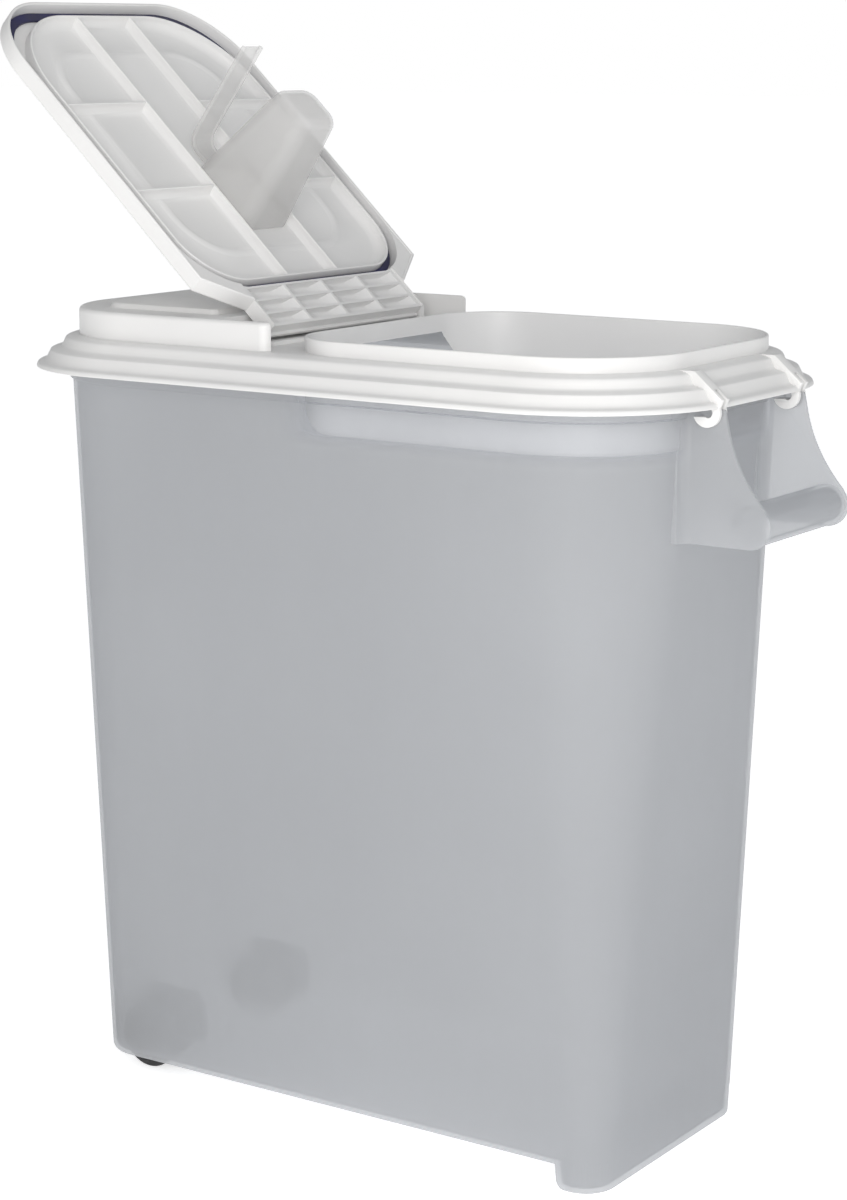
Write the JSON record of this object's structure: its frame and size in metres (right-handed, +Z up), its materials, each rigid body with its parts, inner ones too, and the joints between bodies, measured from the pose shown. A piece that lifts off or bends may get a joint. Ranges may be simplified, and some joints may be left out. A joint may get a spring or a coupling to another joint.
{
  "type": "rolling pet food bin",
  "caption": "Tall tapered bin on wheels with a front grip, a tilting lid, a fold-back door with a seal, and a scoop stored inside the door.",
  "frame": {"origin": "on the ground, under the middle of the whole object with its door folded back", "axes": "+X towards the grip end, +Y to the far long side, +Z up"},
  "size_m": [0.5676, 0.293, 0.7401],
  "materials": {
    "tub_plastic": "translucent natural polypropylene, satin",
    "lid_plastic": "white polypropylene, satin",
    "gasket": "soft dark blue seal",
    "scoop_plastic": "translucent natural polypropylene",
    "wheel_plastic": "black moulded plastic",
    "axle_steel": "plated pin"
  },
  "bodies": {
    "bin": {"bin_body": "tub_plastic", "axle_near": "axle_steel", "axle_far": "axle_steel"},
    "lid": {"lid": "lid_plastic"},
    "door": {"door": "lid_plastic", "door_gasket": "gasket"},
    "scoop": {"scoop": "scoop_plastic"},
    "wheel_near": {"wheel_near": "wheel_plastic"},
    "wheel_far": {"wheel_far": "wheel_plastic"}
  },
  "joints": [
    {"name": "lid_tilt", "type": "hinge", "parent": "bin", "child": "lid", "pos_m": [0.24228, 0, 0.497], "axis": [0, 1, 0], "range_deg": [0, 70]},
    {"name": "door_hinge", "type": "hinge", "parent": "lid", "child": "door", "pos_m": [-0.06627, 0, 0.53197], "axis": [0, 1, 0], "range_deg": [0, 136.8]},
    {"name": "scoop_pull", "type": "slide", "parent": "door", "child": "scoop", "axis": [0.6845, 0, 0.729], "range_m": [0, 0.12]},
    {"name": "wheel_near_spin", "type": "hinge", "parent": "bin", "child": "wheel_near", "pos_m": [-0.18822, -0.061, 0.023], "axis": [0, 1, 0], "continuous": true},
    {"name": "wheel_far_spin", "type": "hinge", "parent": "bin", "child": "wheel_far", "pos_m": [-0.18822, 0.061, 0.023], "axis": [0, 1, 0], "continuous": true}
  ]
}
